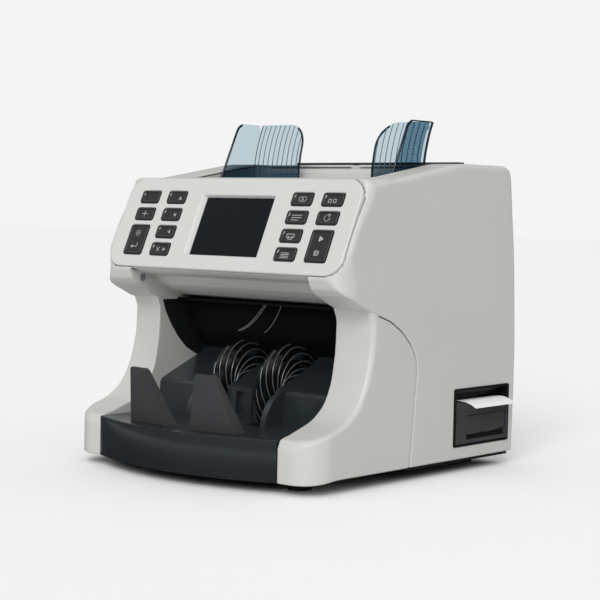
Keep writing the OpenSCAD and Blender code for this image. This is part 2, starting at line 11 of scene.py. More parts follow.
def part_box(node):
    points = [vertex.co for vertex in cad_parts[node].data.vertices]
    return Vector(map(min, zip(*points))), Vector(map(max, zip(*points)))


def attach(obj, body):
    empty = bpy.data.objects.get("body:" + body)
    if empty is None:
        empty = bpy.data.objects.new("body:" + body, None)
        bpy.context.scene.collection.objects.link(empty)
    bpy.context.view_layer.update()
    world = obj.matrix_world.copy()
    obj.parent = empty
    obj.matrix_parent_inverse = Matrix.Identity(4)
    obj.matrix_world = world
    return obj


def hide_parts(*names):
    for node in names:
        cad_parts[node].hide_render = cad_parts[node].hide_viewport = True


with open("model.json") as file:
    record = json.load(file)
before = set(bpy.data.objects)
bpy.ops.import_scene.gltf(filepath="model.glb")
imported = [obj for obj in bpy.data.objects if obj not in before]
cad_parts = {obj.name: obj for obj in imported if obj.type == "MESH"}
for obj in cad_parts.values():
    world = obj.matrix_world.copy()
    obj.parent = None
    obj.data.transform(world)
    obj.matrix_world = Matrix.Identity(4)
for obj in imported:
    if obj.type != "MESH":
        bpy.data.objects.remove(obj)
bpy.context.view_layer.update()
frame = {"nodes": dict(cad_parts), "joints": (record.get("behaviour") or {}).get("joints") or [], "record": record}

# Sizes are in millimetres until a mesh is made: x to the right, y to the back, z up.
MM = 0.001
PIN = {j["name"]: [round(c / MM, 1) for c in j["pos_m"]] for j in frame["joints"] if "pos_m" in j}


def span(name, axis):
    """Lowest and highest place of a CAD node along an axis, to a tenth of a millimetre."""
    return [round(corner[axis] / MM, 1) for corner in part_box(name)]


HW = span("main_cover", 0)[1]   # half of the casing's width
WALL = 2.5                      # thickness of the moulded shells
POCKET = 94.6                   # half of the pocket's clear width
LINER = span("throat_guide", 0)[1]          # half of the width of what fits between its walls
LEAN = math.radians(24.2)       # how far the control panel leans back
PANEL_O = (0.0, -73.5, 221.0)   # middle of the panel's face, level with the top of the keys
PANEL_MID = -27.5               # the panel's middle, along its face from there
PANEL_W = 2 * span("control_panel", 0)[1]   # width of its plate
PANEL_H = 79.0                  # height of its plate, along the slope
DISPLAY_MID = -28.5             # the display's middle, along the panel
REAR_PIN = PIN["rear_door_hinge"][1:]       # (y, z) of the rear door's hinge
SHAFT = PIN["stacker_spin"][1:]             # (y, z) of the stacker wheels' shaft
KNOB_Y = PIN["gap_knob_turn"][1]
LEVER_X, _, LEVER_Z = PIN["printer_lever_hinge"]
LEVER_Y = round(sum(span("printer_lever", 1)) / 2, 1)
STRIP_FRONT = span("front_strip", 1)[0]
RAIL = (60, 218)                # (y, z) of the rail that the note guides slide on
GUIDE_TOP = span("note_guide_right", 2)[1]
GUIDE_X = span("note_guide_right", 0)       # inner and outer edge of the right note guide
GUIDE_CORNER = 19.5             # radius of its upper inner corner
GUIDE_BEND = 230.5              # height above which its back panel curves away


# Materials -------------------------------------------------------------------------------------

def node(nt, kind, **values):
    """A new shader node with values set in its sockets; an underscore stands for a space."""
    new = nt.nodes.new("ShaderNode" + kind)
    for key, value in values.items():
        new.inputs[key.replace("_", " ")].default_value = value
    return new


def colour_mix(nt, a=None, b=None):
    """A new node that mixes two colours."""
    new = nt.nodes.new("ShaderNodeMix")
    new.data_type = "RGBA"
    for key, colour in (("A", a), ("B", b)):
        if colour:
            new.inputs[key].default_value = (*colour, 1)
    return new


def material(name, base, rough=0.45, metallic=0.0, spec=0.5, vary=0.03, scale=40.0, bump=0.03,
             bump_scale=900.0, rough_vary=0.05, coat=0.0):
    """A procedural plastic, metal or rubber, with a softly varied colour, uneven gloss and a fine grain."""
    m = bpy.data.materials.new(name)
    m.use_nodes = True
    nt = m.node_tree
    wire = nt.links.new
    shader = nt.nodes["Principled BSDF"].inputs
    shader["Metallic"].default_value = metallic
    shader["Specular IOR Level"].default_value = spec
    shader["Coat Weight"].default_value = coat
    place = node(nt, "TexCoord").outputs["Object"]
    clouds = node(nt, "TexNoise", Scale=scale, Detail=3.0)
    wire(place, clouds.inputs["Vector"])
    spread = node(nt, "MapRange", From_Min=0.3, From_Max=0.7)
    wire(clouds.outputs["Fac"], spread.inputs["Value"])
    tone = colour_mix(nt, [c * (1 - vary) for c in base], [min(1.0, c * (1 + vary)) for c in base])
    wire(spread.outputs["Result"], tone.inputs["Factor"])
    wire(tone.outputs["Result"], shader["Base Color"])
    gloss = node(nt, "MapRange", To_Min=max(0.0, rough - rough_vary), To_Max=rough + rough_vary)
    wire(clouds.outputs["Fac"], gloss.inputs["Value"])
    wire(gloss.outputs["Result"], shader["Roughness"])
    if bump:
        grain = node(nt, "TexNoise", Scale=bump_scale, Detail=2.0)
        wire(place, grain.inputs["Vector"])
        relief = node(nt, "Bump", Strength=bump, Distance=0.0004)
        wire(grain.outputs["Fac"], relief.inputs["Height"])
        wire(relief.outputs["Normal"], shader["Normal"])
    return m


def smoked(name, tint, clear):
    """Clear smoked polycarbonate: a see-through tint under a glossy skin."""
    m = bpy.data.materials.new(name)
    m.use_nodes = True
    nt = m.node_tree
    wire = nt.links.new
    skin = nt.nodes["Principled BSDF"]
    skin.inputs["Base Color"].default_value = (0.02, 0.04, 0.055, 1)
    skin.inputs["Roughness"].default_value = 0.08
    see = node(nt, "BsdfTransparent", Color=(*tint, 1))
    mix = node(nt, "MixShader")
    clouds = node(nt, "TexNoise", Scale=25.0)
    wire(node(nt, "TexCoord").outputs["Object"], clouds.inputs["Vector"])
    share = node(nt, "MapRange", To_Min=clear - 0.015, To_Max=clear + 0.015)
    wire(clouds.outputs["Fac"], share.inputs["Value"])
    wire(share.outputs["Result"], mix.inputs["Fac"])
    wire(skin.outputs["BSDF"], mix.inputs[1])
    wire(see.outputs["BSDF"], mix.inputs[2])
    wire(mix.outputs["Shader"], nt.nodes["Material Output"].inputs["Surface"])
    return m


# One finish for each material slot of the record.
M = {
    "white_casing": material("casing_white", (0.56, 0.555, 0.535), rough=0.42, vary=0.012, scale=12,
                             bump=0.05, bump_scale=1400),
    "panel_white": material("panel_white", (0.60, 0.598, 0.585), rough=0.38, vary=0.01, scale=14,
                            bump=0.03, bump_scale=1600),
    "glossy_black": material("strip_black", (0.017, 0.021, 0.024), rough=0.16, vary=0.12, scale=9,
                             bump=0.01, coat=0.2),
    "black_plastic": material("inner_black", (0.012, 0.015, 0.017), rough=0.25, vary=0.10, scale=30,
                              bump=0.06),
    "dark_grey_plastic": material("dark_grey", (0.045, 0.045, 0.048), rough=0.36, vary=0.06, scale=30,
                                  bump=0.06),
    "key_plastic": material("key_dark", (0.014, 0.013, 0.0125), rough=0.36, vary=0.06, scale=60, bump=0.05),
    "display_glass": material("display_glass", (0.0025, 0.0045, 0.0075), rough=0.12, spec=0.16, vary=0.1,
                              scale=8, bump=0.0),
    "smoked_plastic": smoked("smoked_blue", (0.482, 0.606, 0.679), 0.93),
    "steel": material("sheet_steel", (0.55, 0.56, 0.58), rough=0.35, metallic=1.0, vary=0.05, scale=20,
                      bump=0.08, bump_scale=300),
    "rubber": material("rubber", (0.028, 0.028, 0.028), rough=0.75, vary=0.1, scale=60,
                       bump=0.15, bump_scale=700),
    "circuit_board": material("circuit_board", (0.03, 0.15, 0.07), rough=0.35, vary=0.25, scale=120,
                              bump=0.2, bump_scale=350),
    "paper": material("receipt_paper", (0.86, 0.86, 0.85), rough=0.7, vary=0.01, scale=60,
                      bump=0.05, bump_scale=1200),
}
# Finishes of single pieces.
MARK = material("key_print", (0.50, 0.49, 0.48), rough=0.5, vary=0.03, scale=60, bump=0.0)
# The throat's black: partly its own black plastic, partly painted shade, darker than the black plastic for the
# deep pocket.
BLACK_IN_SHADE = material("black_with_painted_shade", (0.004, 0.0045, 0.005), rough=0.6, spec=0.15, vary=0.2, scale=20, bump=0.02)
FILM = material("film_strip", (0.20, 0.21, 0.22), rough=0.25, vary=0.1, scale=40, bump=0.0)
EDGE = material("guide_edge", (0.012, 0.022, 0.032), rough=0.12, vary=0.2, scale=30, bump=0.0)
RIB = material("guide_rib", (0.06, 0.10, 0.13), rough=0.15, vary=0.2, scale=30, bump=0.0)
# Painted shade: near-black for the sheets laid on the pocket's side walls where they lie in shadow.
SHADE_SHEET_BLACK = material("painted_shade_black", (0.010, 0.011, 0.012), rough=0.5, spec=0.3, vary=0.15, scale=20, bump=0.02)
# Painted highlight: lighter grey on the stacker fins' edges and the hub's chamfers, for the glints on their
# rounded edges.
FIN_PAINTED_GLINT = material("fin_painted_glint", (0.10, 0.105, 0.11), rough=0.2, vary=0.15, scale=60, bump=0.0)
# The printer housing's black: partly its own black, partly painted shade, darker than the black plastic so its
# recess reads black; also the painted shadow under the lever plate.
HOUSING_BLACK_AND_SHADE = material("printer_black_painted_shade", (0.009, 0.009, 0.010), rough=0.35, spec=0.3, vary=0.1, scale=30,
                   bump=0.04)
DOOR = material("printer_grey", (0.052, 0.052, 0.056), rough=0.36, vary=0.06, scale=30, bump=0.06)
TRAY = material("tray_blue_black", (0.017, 0.023, 0.027), rough=0.30, spec=0.7, vary=0.04, scale=14, bump=0.0,
                rough_vary=0.02)
WHEEL = material("wheel_black", (0.007, 0.008, 0.009), rough=0.18, vary=0.1, scale=40, bump=0.02)
ZINC = material("dark_zinc", (0.045, 0.047, 0.05), rough=0.4, metallic=0.6, vary=0.1, scale=25, bump=0.06)
OWN = {"stacker_tray": TRAY, "base_plate": ZINC, "printer_housing": HOUSING_BLACK_AND_SHADE, "printer_door": DOOR,
       "printer_lever": DOOR}
slot_of = {s["node"]: s["material_slot"] for s in frame["record"]["subparts"]}
for name, obj in frame["nodes"].items():
    obj.data.materials.clear()
    obj.data.materials.append(OWN.get(name, M[slot_of[name]]))


# Field modelling -------------------------------------------------------------------------------
# Moulded shells are distance fields in millimetres, negative inside, turned into closed quad meshes.

def rmax(a, b, r):
    """Intersection with an edge rounded to radius r."""
    return np.minimum(np.maximum(a, b), -r) + np.hypot(np.maximum(a + r, 0), np.maximum(b + r, 0))


def rmin(a, b, r):
    """Union with a fillet of radius r."""
    return -rmax(-a, -b, r)


def fillet(points, radii):
    """Rounds the corners of a closed outline."""
    out = []
    n = len(points)
    for i, r in enumerate(radii):
        p = np.array(points[i], float)
        if r <= 0:
            out.append(tuple(p))
            continue
        a = np.array(points[i - 1], float) - p
        b = np.array(points[(i + 1) % n], float) - p
        la, lb = np.linalg.norm(a), np.linalg.norm(b)
        a, b = a / la, b / lb
        half = math.acos(float(np.clip(a @ b, -1, 1))) / 2
        t = min(r / math.tan(half), 0.49 * la, 0.49 * lb)
        rr = t * math.tan(half)
        mid = (a + b) / np.linalg.norm(a + b)
        c = p + mid * rr / math.sin(half)
        v0, v1 = p + a * t - c, p + b * t - c
        a0 = math.atan2(v0[1], v0[0])
        sweep = (math.atan2(v1[1], v1[0]) - a0 + math.pi) % (2 * math.pi) - math.pi
        steps = max(2, int(abs(sweep) / math.radians(7)) + 1)
        for k in range(steps + 1):
            t2 = a0 + sweep * k / steps
            out.append((c[0] + rr * math.cos(t2), c[1] + rr * math.sin(t2)))
    return out


def poly(points, u, v):
    """Signed distance to a closed polygon."""
    shape = np.broadcast(u, v).shape
    d = np.full(shape, 1e12, np.float32)
    sign = np.ones(shape, np.float32)
    for i in range(len(points)):
        (ax, ay), (bx, by) = points[i], points[i - 1]
        ex, ey = bx - ax, by - ay
        if ex * ex + ey * ey < 1e-12:
            continue
        wx, wy = u - ax, v - ay
        t = np.clip((wx * ex + wy * ey) / (ex * ex + ey * ey), 0, 1)
        d = np.minimum(d, (wx - ex * t) ** 2 + (wy - ey * t) ** 2)
        c1, c2, c3 = v >= ay, v < by, ex * wy > ey * wx
        sign = np.where((c1 & c2 & c3) | (~c1 & ~c2 & ~c3), -sign, sign)
    return sign * np.sqrt(d)


def rrect(u, v, hw, hh, r):
    """Signed distance to a rounded rectangle."""
    qu, qv = np.abs(u) - hw + r, np.abs(v) - hh + r
    return np.minimum(np.maximum(qu, qv), 0) + np.hypot(np.maximum(qu, 0), np.maximum(qv, 0)) - r


def cube(u, v, w, lo, hi, r=0.0):
    """Signed distance to a box, with its edges rounded to r."""
    q = [np.abs(c - (a + b) / 2) - (b - a) / 2 + r for c, a, b in zip((u, v, w), lo, hi)]
    inner = np.minimum(np.maximum(np.maximum(q[0], q[1]), q[2]), 0)
    return inner + np.sqrt(sum(np.maximum(c, 0) ** 2 for c in q)) - r


def axes(lo, hi, h):
    """Three broadcastable coordinate arrays of a grid with step h."""
    g = [np.arange(a, b + h, h, dtype=np.float32) for a, b in zip(lo, hi)]
    return g[0][:, None, None], g[1][None, :, None], g[2][None, None, :]


def surface(f, lo, h):
    """Surface nets: the closed quad mesh of a field on a grid."""
    inside = f < 0
    nx, ny, nz = f.shape
    corners = [(i, j, k) for i in (0, 1) for j in (0, 1) for k in (0, 1)]
    count = np.zeros((nx - 1, ny - 1, nz - 1), np.uint8)
    for i, j, k in corners:
        count += inside[i:nx - 1 + i, j:ny - 1 + j, k:nz - 1 + k]
    active = (count > 0) & (count < 8)
    cells = np.argwhere(active)
    index = np.full(active.shape, -1, np.int64)
    index[active] = np.arange(len(cells))
    ci, cj, ck = cells.T
    val = [f[ci + i, cj + j, ck + k] for i, j, k in corners]
    pos = np.zeros((len(cells), 3))
    hits = np.zeros(len(cells))
    for a in range(8):
        for b in range(a + 1, 8):
            step = np.subtract(corners[b], corners[a])
            if np.abs(step).sum() != 1:
                continue
            m = (val[a] < 0) != (val[b] < 0)
            t = val[a][m] / (val[a][m] - val[b][m])
            pos[m] += np.array(corners[a]) + t[:, None] * step
            hits[m] += 1
    verts = np.array(lo) + (cells + pos / hits[:, None]) * h
    quads = []
    for ax in range(3):
        e1, e2 = (ax + 1) % 3, (ax + 2) % 3
        lo_s = [slice(1, -1)] * 3
        hi_s = [slice(1, -1)] * 3
        lo_s[ax], hi_s[ax] = slice(0, -1), slice(1, None)
        a_in, b_in = inside[tuple(lo_s)], inside[tuple(hi_s)]
        at = np.argwhere(a_in != b_in)
        base = at.copy()
        base[:, e1] += 1
        base[:, e2] += 1
        ring = []
        for d1, d2 in ((1, 1), (0, 1), (0, 0), (1, 0)):
            c = base.copy()
            c[:, e1] -= d1
            c[:, e2] -= d2
            ring.append(index[tuple(c.T)])
        q = np.stack(ring, 1)
        out = a_in[tuple(at.T)]
        quads.append(np.where(out[:, None], q, q[:, ::-1]))
    return verts, np.concatenate(quads)


# Mesh helpers ----------------------------------------------------------------------------------

def link(name, me, mats):
    """A smooth-shaded object of a mesh, in the scene."""
    obj = bpy.data.objects.new(name, me)
    bpy.context.scene.collection.objects.link(obj)
    for m in mats:
        me.materials.append(m)
    me.polygons.foreach_set("use_smooth", np.ones(len(me.polygons), bool))
    return obj


def quad_mesh(name, verts, quads, mats, keep):
    """A mesh from arrays in millimetres, thinned where it is flat to the given share of its triangles."""
    dense = bpy.data.meshes.new(name)
    dense.vertices.add(len(verts))
    dense.vertices.foreach_set("co", (np.asarray(verts) * MM).astype(np.float32).ravel())
    dense.loops.add(quads.size)
    dense.loops.foreach_set("vertex_index", quads.astype(np.int32).ravel())
    dense.polygons.add(len(quads))
    dense.polygons.foreach_set("loop_start", np.arange(0, quads.size, quads.shape[1], dtype=np.int32))
    dense.update(calc_edges=True)
    obj = link(name, dense, mats)
    obj.modifiers.new("thin", "DECIMATE").ratio = keep
    obj.data = bpy.data.meshes.new_from_object(obj.evaluated_get(bpy.context.evaluated_depsgraph_get()))
    obj.modifiers.clear()
    bpy.data.meshes.remove(dense)
    obj.data.name = name
    obj.data.polygons.foreach_set("use_smooth", np.ones(len(obj.data.polygons), bool))
    obj.modifiers.new("normals", "WEIGHTED_NORMAL").weight = 60
    return obj


def solid(name, points, faces, mats, sharp):
    """A mesh from points in millimetres, with outward normals and edges that are sharp beyond an angle."""
    me = bpy.data.meshes.new(name)
    me.from_pydata([Vector(p) * MM for p in points], [], faces)
    bm = bmesh.new()
    bm.from_mesh(me)
    bmesh.ops.recalc_face_normals(bm, faces=bm.faces)
    bm.to_mesh(me)
    bm.free()
    obj = link(name, me, mats)
    me.set_sharp_from_angle(angle=math.radians(sharp))
    return obj


def sweep(name, rings, mats, sharp=30):
    """A closed solid through rings of equal point counts, in millimetres."""
    n, last = len(rings[0]), len(rings) - 1
    faces = [(i * n + j, i * n + (j + 1) % n, (i + 1) * n + (j + 1) % n, (i + 1) * n + j)
             for i in range(last) for j in range(n)]
    faces += [tuple(range(n))[::-1], tuple(last * n + j for j in range(n))]
    return solid(name, [p for r in rings for p in r], faces, mats, sharp)


def tube(name, path, radius, mats):
    """A round bar along a smooth path, in millimetres."""
    cu = bpy.data.curves.new(name, "CURVE")
    cu.dimensions = "3D"
    cu.bevel_depth = radius * MM
    cu.bevel_resolution = 3
    cu.use_fill_caps = True
    sp = cu.splines.new("POLY")
    sp.points.add(len(path) - 1)
    for p, q in zip(sp.points, path):
        p.co = (*(Vector(q) * MM), 1)
    tmp = bpy.data.objects.new(name, cu)
    bpy.context.scene.collection.objects.link(tmp)
    me = bpy.data.meshes.new_from_object(tmp.evaluated_get(bpy.context.evaluated_depsgraph_get()))
    bpy.data.objects.remove(tmp)
    bpy.data.curves.remove(cu)
    me.name = name
    return link(name, me, mats)


def side_name(sign):
    return "right" if sign > 0 else "left"


def handed(verts, quads, sign):
    """A mesh of the right side, mirrored where it is for the left."""
    return (verts, quads) if sign > 0 else (verts * (-1, 1, 1), quads[:, ::-1])


def piece(obj, body, slot, *nodes):
    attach(obj, body)
    if nodes:
        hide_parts(*nodes)


# Casing, rear door and front frame ---------------------------------------------------------------

def seam_line(dy, dz):
    """The split between the casing and the front frame, as (y, z) points from the top down."""
    pts = [(-60, 131.4), (-40.8, 125.3), (-26.1, 116.9), (-14.3, 106.1), (-7.4, 94.3), (-6.4, 84), (-13.8, 8),
           (-16, -20)]
    return [(y - dy, z - dz) for y, z in pts]


SEAM_R = [1, 30, 30, 22, 16, 30, 0, 0]     # radii of its corners
# Side views, as (y, z): the pocket's edge on the frame, the underside of the panel, the rear door's opening.
INNER_EDGE = [(-93, 145), (-70.3, 134.3), (-66.2, 125.3), (-67.2, 101.3), (-71.1, 78.2), (-79, 62), (-93, 51),
              (-115, 44), (-128, 39)]
BELLY = [(-98.9, 158.3), (-84.7, 153.9), (-72, 152.5), (-68.5, 148.1), (-65, 144.4), (-56.3, 140),
         (-45.8, 136.6), (-30, 133.2), (-20, 131.5)]
HATCH = [(91.4, 86.6), (129.9, 86.6), (151.4, 103.8), (151.4, 270), (91.4, 270)]


def smooth(v, lo, hi):
    """A soft step from 0 at lo to 1 at hi."""
    t = np.clip((v - lo) / (hi - lo), 0, 1)
    return t * t * (3 - 2 * t)


def panel_frame(y, z):
    """(along the plate, out of the plate) of points in the side view."""
    dy, dz = y - PANEL_O[1], z - PANEL_O[2]
    return dy * math.sin(LEAN) + dz * math.cos(LEAN), -dy * math.cos(LEAN) + dz * math.sin(LEAN)


def from_panel(p):
    """Points given as (across, along, out) on the panel, in the machine's frame."""
    p = np.asarray(p, float)
    c, s = math.cos(LEAN), math.sin(LEAN)
    across, along, out = p.T
    return np.stack([across, PANEL_O[1] + along * s - out * c, PANEL_O[2] + along * c + out * s], 1)


def outer_form(x, y, z):
    """The casing's outer form before any opening: the side profile with soft edges to the side walls."""
    side = poly(fillet([(-181.8, -20), (-68.5, 232.4), (-39.8, 232.6), (47.3, 247.6), (119.0, 247.6),
                        (128.4, 170), (132.4, 103), (132.4, 60), (130, -20)],
                       [0, 3, 60, 90, 11, 300, 200, 200, 0]), y, z)
    tab = (1 - smooth(z, 150, 178)) * (1 - smooth(y, -60, -30))
    brow = smooth(z, 190, 224) * (1 - smooth(y, -70, -42))
    return rmax(side, np.abs(x) - HW, 4.5 + 17.0 * tab + 6.0 * brow)


def casing():
    """The main shell behind the side seams, with all the openings in it."""
    h = 1.35
    lo, hi = (-131.5, -108.0, 6.0), (131.5, 136.0, 251.0)
    x, y, z = axes(lo, hi, h)
    ax = np.abs(x)
    env = outer_form(x, y, z)
    tab = poly(fillet([(-260, 158), (-102.2, 158), (-98.5, 149.5), (-93, 145), (-70.3, 134.5), (-58, 130.8),
                       (-58, 60), (-260, 60)], [0, 3, 6, 3, 4, 0, 0, 0]), y, z)
    room = fillet([(-130, 158.3)] + BELLY + [(-20, 90), (-130, 90)], [0, 1, 2, 2, 8, 8, 14, 14, 0, 0, 0, 0])
    room = rmax(poly(room, y, z), ax - POCKET, 1.0)
    env = rmax(env, -tab, 1.2)
    body = rmax(env, -room, 1.2)
    void = np.maximum(env + WALL, -np.maximum(room - WALL, y + 20.0))
    low = poly(fillet([(-200, 131.4)] + seam_line(0, 0) + [(-200, -20)], [0] + SEAM_R + [0]), y, z)
    body = rmax(body, -low, 0.9)
    body = rmax(body, 11.0 - z, 1.0)
    d = np.maximum(body, -void)
    v, w = panel_frame(y, z)
    gap = 0.3
    window = rrect(x, v - PANEL_MID, PANEL_W / 2 + gap, PANEL_H / 2 + gap, 16.0)
    d = rmax(d, -np.maximum(window, np.abs(w - 1) - 10), 0.5)
    mouth = np.maximum(rrect(x, y - 19.9, 95.6, 50.5, 5.0), 190 - z)
    d = rmax(d, -mouth, 2.0)
    d = rmax(d, -np.maximum(ax - 88.5, poly(HATCH, y, z)), 0.6)
    printer = cube(x, y, z, (118, 44.5, 21.1), (142, 122.1, 67.7))
    d = rmax(d, -printer, 0.7)
    inlet, ports = ((-100.3, 121.4, 17.7), (-36.7, 152, 54.3)), ((-20.5, 121.4, 21.5), (50.5, 152, 50.5))
    for box in (inlet, ports):
        d = rmax(d, -cube(x, y, z, *box), 0.6)
    for i in range(8):
        vent = cube(x, y, z, (-142, 36 + i * 8, 150), (-120, 39.5 + i * 8, 186), 1.7)
        d = rmax(d, -vent, 0.3)
    knob = np.hypot(x, y - KNOB_Y)
    d = np.minimum(d, np.maximum(knob - 10.2, np.abs(z - 242.1) - 3.7))
    d = rmax(d, -np.maximum(knob - 8.2, 240.4 - z), 0.5)
    d = np.maximum(d, -(knob - 4.2))
    return quad_mesh("casing", *surface(d, lo, h), [M["white_casing"]], keep=0.13)


def rear_hatch():
    """The rear door: the casing's own skin inside the opening, with its two hinge knuckles."""
    h = 1.1
    lo, hi = (-90.0, 89.5, 85.0), (90.0, 135.0, 250.0)
    x, y, z = axes(lo, hi, h)
    env = outer_form(x, y, z)
    inside = poly([(91.9, 90.6), (160, 90.6), (160, 270), (91.9, 270)], y, z)
    d = rmax(rmax(env, inside, 0.7), np.abs(x) - 88, 0.7)
    d = rmax(d, -(env + WALL), 0.4)
    pin = np.hypot(y - REAR_PIN[0], z - REAR_PIN[1])
    off = np.abs(np.abs(x) - 64)
    d = np.minimum(d, np.maximum(pin - 2.6, off - 6))
    d = rmax(d, -np.maximum(pin - 1.3, off - 8), 0.2)
    return quad_mesh("rear_hatch", *surface(d, lo, h), [M["white_casing"]], keep=0.25)


def front_frame(sign):
    """The pillar, inner wall and foot in front of the seam, on one side."""
    h = 0.8
    lo, hi = (92.6, -134.0, 5.6), (130.6, -2.0, 136.8)
    x, y, z = axes(lo, hi, h)
    back = y - 0.13 * smooth(z, 50, 110) * (x - POCKET)
    pillar = poly(fillet(INNER_EDGE + [(-128, 20), (90, 20), (90, 160), (-93, 160)],
                         [0, 5, 14, 60, 50, 30, 40, 30, 0] + [0] * 4), back, z)
    plan = rmax(x - HW, -131.3 - y, 24.0)
    foot = rmax(plan, z - 40.2, 8.0)
    env = np.maximum(rmin(rmax(pillar, plan, 3.8), foot, 4.0), plan)
    env = rmax(env, POCKET - 0.05 - x, 0.8)
    # In the pocket and under the tab the frame laps over the split, so the line shows on the side wall only.
    lap = 1.8 * (1 - smooth(x, 96.2, 98.2) * smooth(y, -58.5, -55.5))
    ahead = [(-190, -20), (-190, 150), (-76, 150), (-76, 136), (-70.3, 133.2)] + seam_line(0.45, 0.4)
    ahead = poly(fillet(ahead, [0, 0, 0, 0, 1] + SEAM_R), y, z) - lap
    d = rmax(env, ahead, 1.2)
    d = rmax(d, 8.0 + 3.0 * smooth(y, -131, -98) - z, 1.0)
    hole = np.maximum(np.hypot(y - SHAFT[0], z - SHAFT[1]) - 6, x - 99)
    d = np.maximum(np.maximum(d, -(env + WALL)), -hole)
    return quad_mesh("front_frame_" + side_name(sign), *handed(*surface(d, lo, h), sign), [M["white_casing"]],
                     keep=0.3)


# Control panel and keys --------------------------------------------------------------------------

KEY_W, KEY_H, PITCH = 20.4, 10.6, 15.3
TALL = KEY_H + PITCH
MARK_W = 0.42                       # width of the raised marks on the keys
MARK_LOW, MARK_HIGH = 0.9, 1.12     # where they start and end, out of the panel
COLUMNS = ((-97.1, ("num1", "add", "set")), (-66.8, ("up", "down", "left", "clear")),
           (66.8, ("currency", "report", "print", "batch")), (97.1, ("mode", "auto", "start")))
# (name, across, along, height) of each key; the last keys of the outer columns are two rows high.
KEYS = []
for across, keys in COLUMNS:
    for row, key in enumerate(keys):
        tall = key in ("set", "start")
        KEYS.append(("key_" + key, across, -KEY_H / 2 - (row + 0.5 * tall) * PITCH, TALL if tall else KEY_H))


def panel_plate():
    """White plate with a bevelled window that is wider at its left, and the wells of the keys."""
    h = 0.6
    lo, hi = (-126.0, PANEL_MID - 41.5, -10.2), (126.0, PANEL_MID + 41.5, 1.8)
    x, v, w = axes(lo, hi, h)
    plan = rrect(x, v - PANEL_MID, PANEL_W / 2, PANEL_H / 2, 15.7)
    d = rmax(plan, np.abs(w + 1.3) - 1.9, 1.1)
    skirt = np.maximum(np.maximum(plan, -plan - 2.2), np.abs(w + 5.0) - 4.0)
    d = np.minimum(d, skirt)
    deep = w + 3.2
    lcd = np.maximum(np.maximum(-x - 35.2 - 0.9 * deep, x - 37.6 - 0.25 * deep),
                     np.maximum(v - DISPLAY_MID - 24.7 - 0.3 * deep, DISPLAY_MID - v - 24.7 - 0.45 * deep))
    d = rmax(d, -0.75 * lcd, 0.4)
    for name, kx, ky, kh in KEYS:
        d = rmax(d, -rrect(x - kx, v - ky, KEY_W / 2 + 0.4, kh / 2 + 0.4, 2.3), 0.5)
    verts, quads = surface(d, lo, h)
    return quad_mesh("panel_plate", from_panel(verts), quads, [M["panel_white"]], keep=0.2)


# Numerals as polylines, one unit wide and two high.
DIGITS = {
    "0": [[(0, 0), (1, 0), (1, 2), (0, 2), (0, 0)]],
    "1": [[(0.2, 1.6), (0.6, 2), (0.6, 0)]],
    "2": [[(0, 2), (1, 2), (1, 1), (0, 1), (0, 0), (1, 0)]],
    "3": [[(0, 2), (1, 2), (1, 0), (0, 0)], [(0.2, 1), (1, 1)]],
    "4": [[(0, 2), (0, 1), (1, 1)], [(1, 2), (1, 0)]],
    "5": [[(1, 2), (0, 2), (0, 1), (1, 1), (1, 0), (0, 0)]],
    "6": [[(1, 2), (0, 2), (0, 0), (1, 0), (1, 1), (0, 1)]],
    "7": [[(0, 2), (1, 2), (0.5, 0)]],
    "8": [[(0, 0), (1, 0), (1, 2), (0, 2), (0, 0)], [(0, 1), (1, 1)]],
    "9": [[(1, 1), (0, 1), (0, 2), (1, 2), (1, 0), (0, 0)]],
}


def ring(cx, cy, r, start=0, turn=360, n=14):
    """An arc as a polyline."""
    return [(cx + r * math.cos(math.radians(start + turn * i / n)),
             cy + r * math.sin(math.radians(start + turn * i / n))) for i in range(n + 1)]


def wedge(cx, cy, r, heading):
    """A filled triangle, drawn as strokes close enough to merge."""
    corners = [math.radians(heading + a) for a in (0, 120, 240, 0)]
    return [[(cx + k * r * math.cos(a), cy + k * r * math.sin(a)) for a in corners] for k in (1.0, 0.6, 0.25)]


def square(x0, y0, x1, y1):
    """A rectangle as a polyline."""
    return [(x0, y0), (x1, y0), (x1, y1), (x0, y1), (x0, y0)]


# What each key carries: its number at the upper left, and a plain icon.
MARKS = {
    "key_num1": ("1", []),
    "key_add": ("", [[(-3, 0), (3, 0)], [(0, -2.4), (0, 2.4)]]),
    "key_set": ("", [ring(0, 5.6, 2.3), ring(0, 5.6, 0.8), [(3, -3.4), (3, -6.4), (-2.6, -6.4)]]
                + wedge(-2.4, -6.4, 1.3, 180)),
    "key_up": ("2", wedge(4.6, -1.2, 1.5, 90)),
    "key_down": ("3", wedge(4.6, -0.4, 1.5, -90)),
    "key_left": ("4", wedge(4.4, 0, 1.5, 180)),
    "key_clear": ("0", [[(-3.4, -1.9), (-0.2, 1.3)], [(-3.4, 1.3), (-0.2, -1.9)]] + wedge(4.6, -0.3, 1.5, 0)),
    "key_currency": ("5", [ring(-0.6, -0.2, 2.1), ring(2.4, -0.2, 2.1)]),
    "key_report": ("6", [[(-4.4, 1.6), (5, 1.6)], [(-4.4, -0.4), (5, -0.4)], [(-4.4, -2.4), (2.4, -2.4)]]),
    "key_print": ("7", [[(-3.4, -1.6), (-3.4, 1.2), (3.8, 1.2), (3.8, -1.6), (-3.4, -1.6)],
                        [(-1.6, -0.4), (-1.6, -3), (2, -3), (2, -0.4)]]),
    "key_batch": ("8", [[(-3.8, y), (3.8, y)] for y in (-3, -1.7, -0.4, 0.9)]),
    "key_mode": ("9", [square(-3.6, -2.6, -1, 0), square(1.2, -2.6, 3.8, 0)]),
    "key_auto": ("", [ring(0, 0, 2.6, 60, 300)] + wedge(1.5, 2.3, 1.2, 150)),
    "key_start": ("", wedge(0.2, 5.8, 2.4, 0) + [square(-2, -7.6, 2, -4), square(-1, -6.6, 1, -5)]),
}


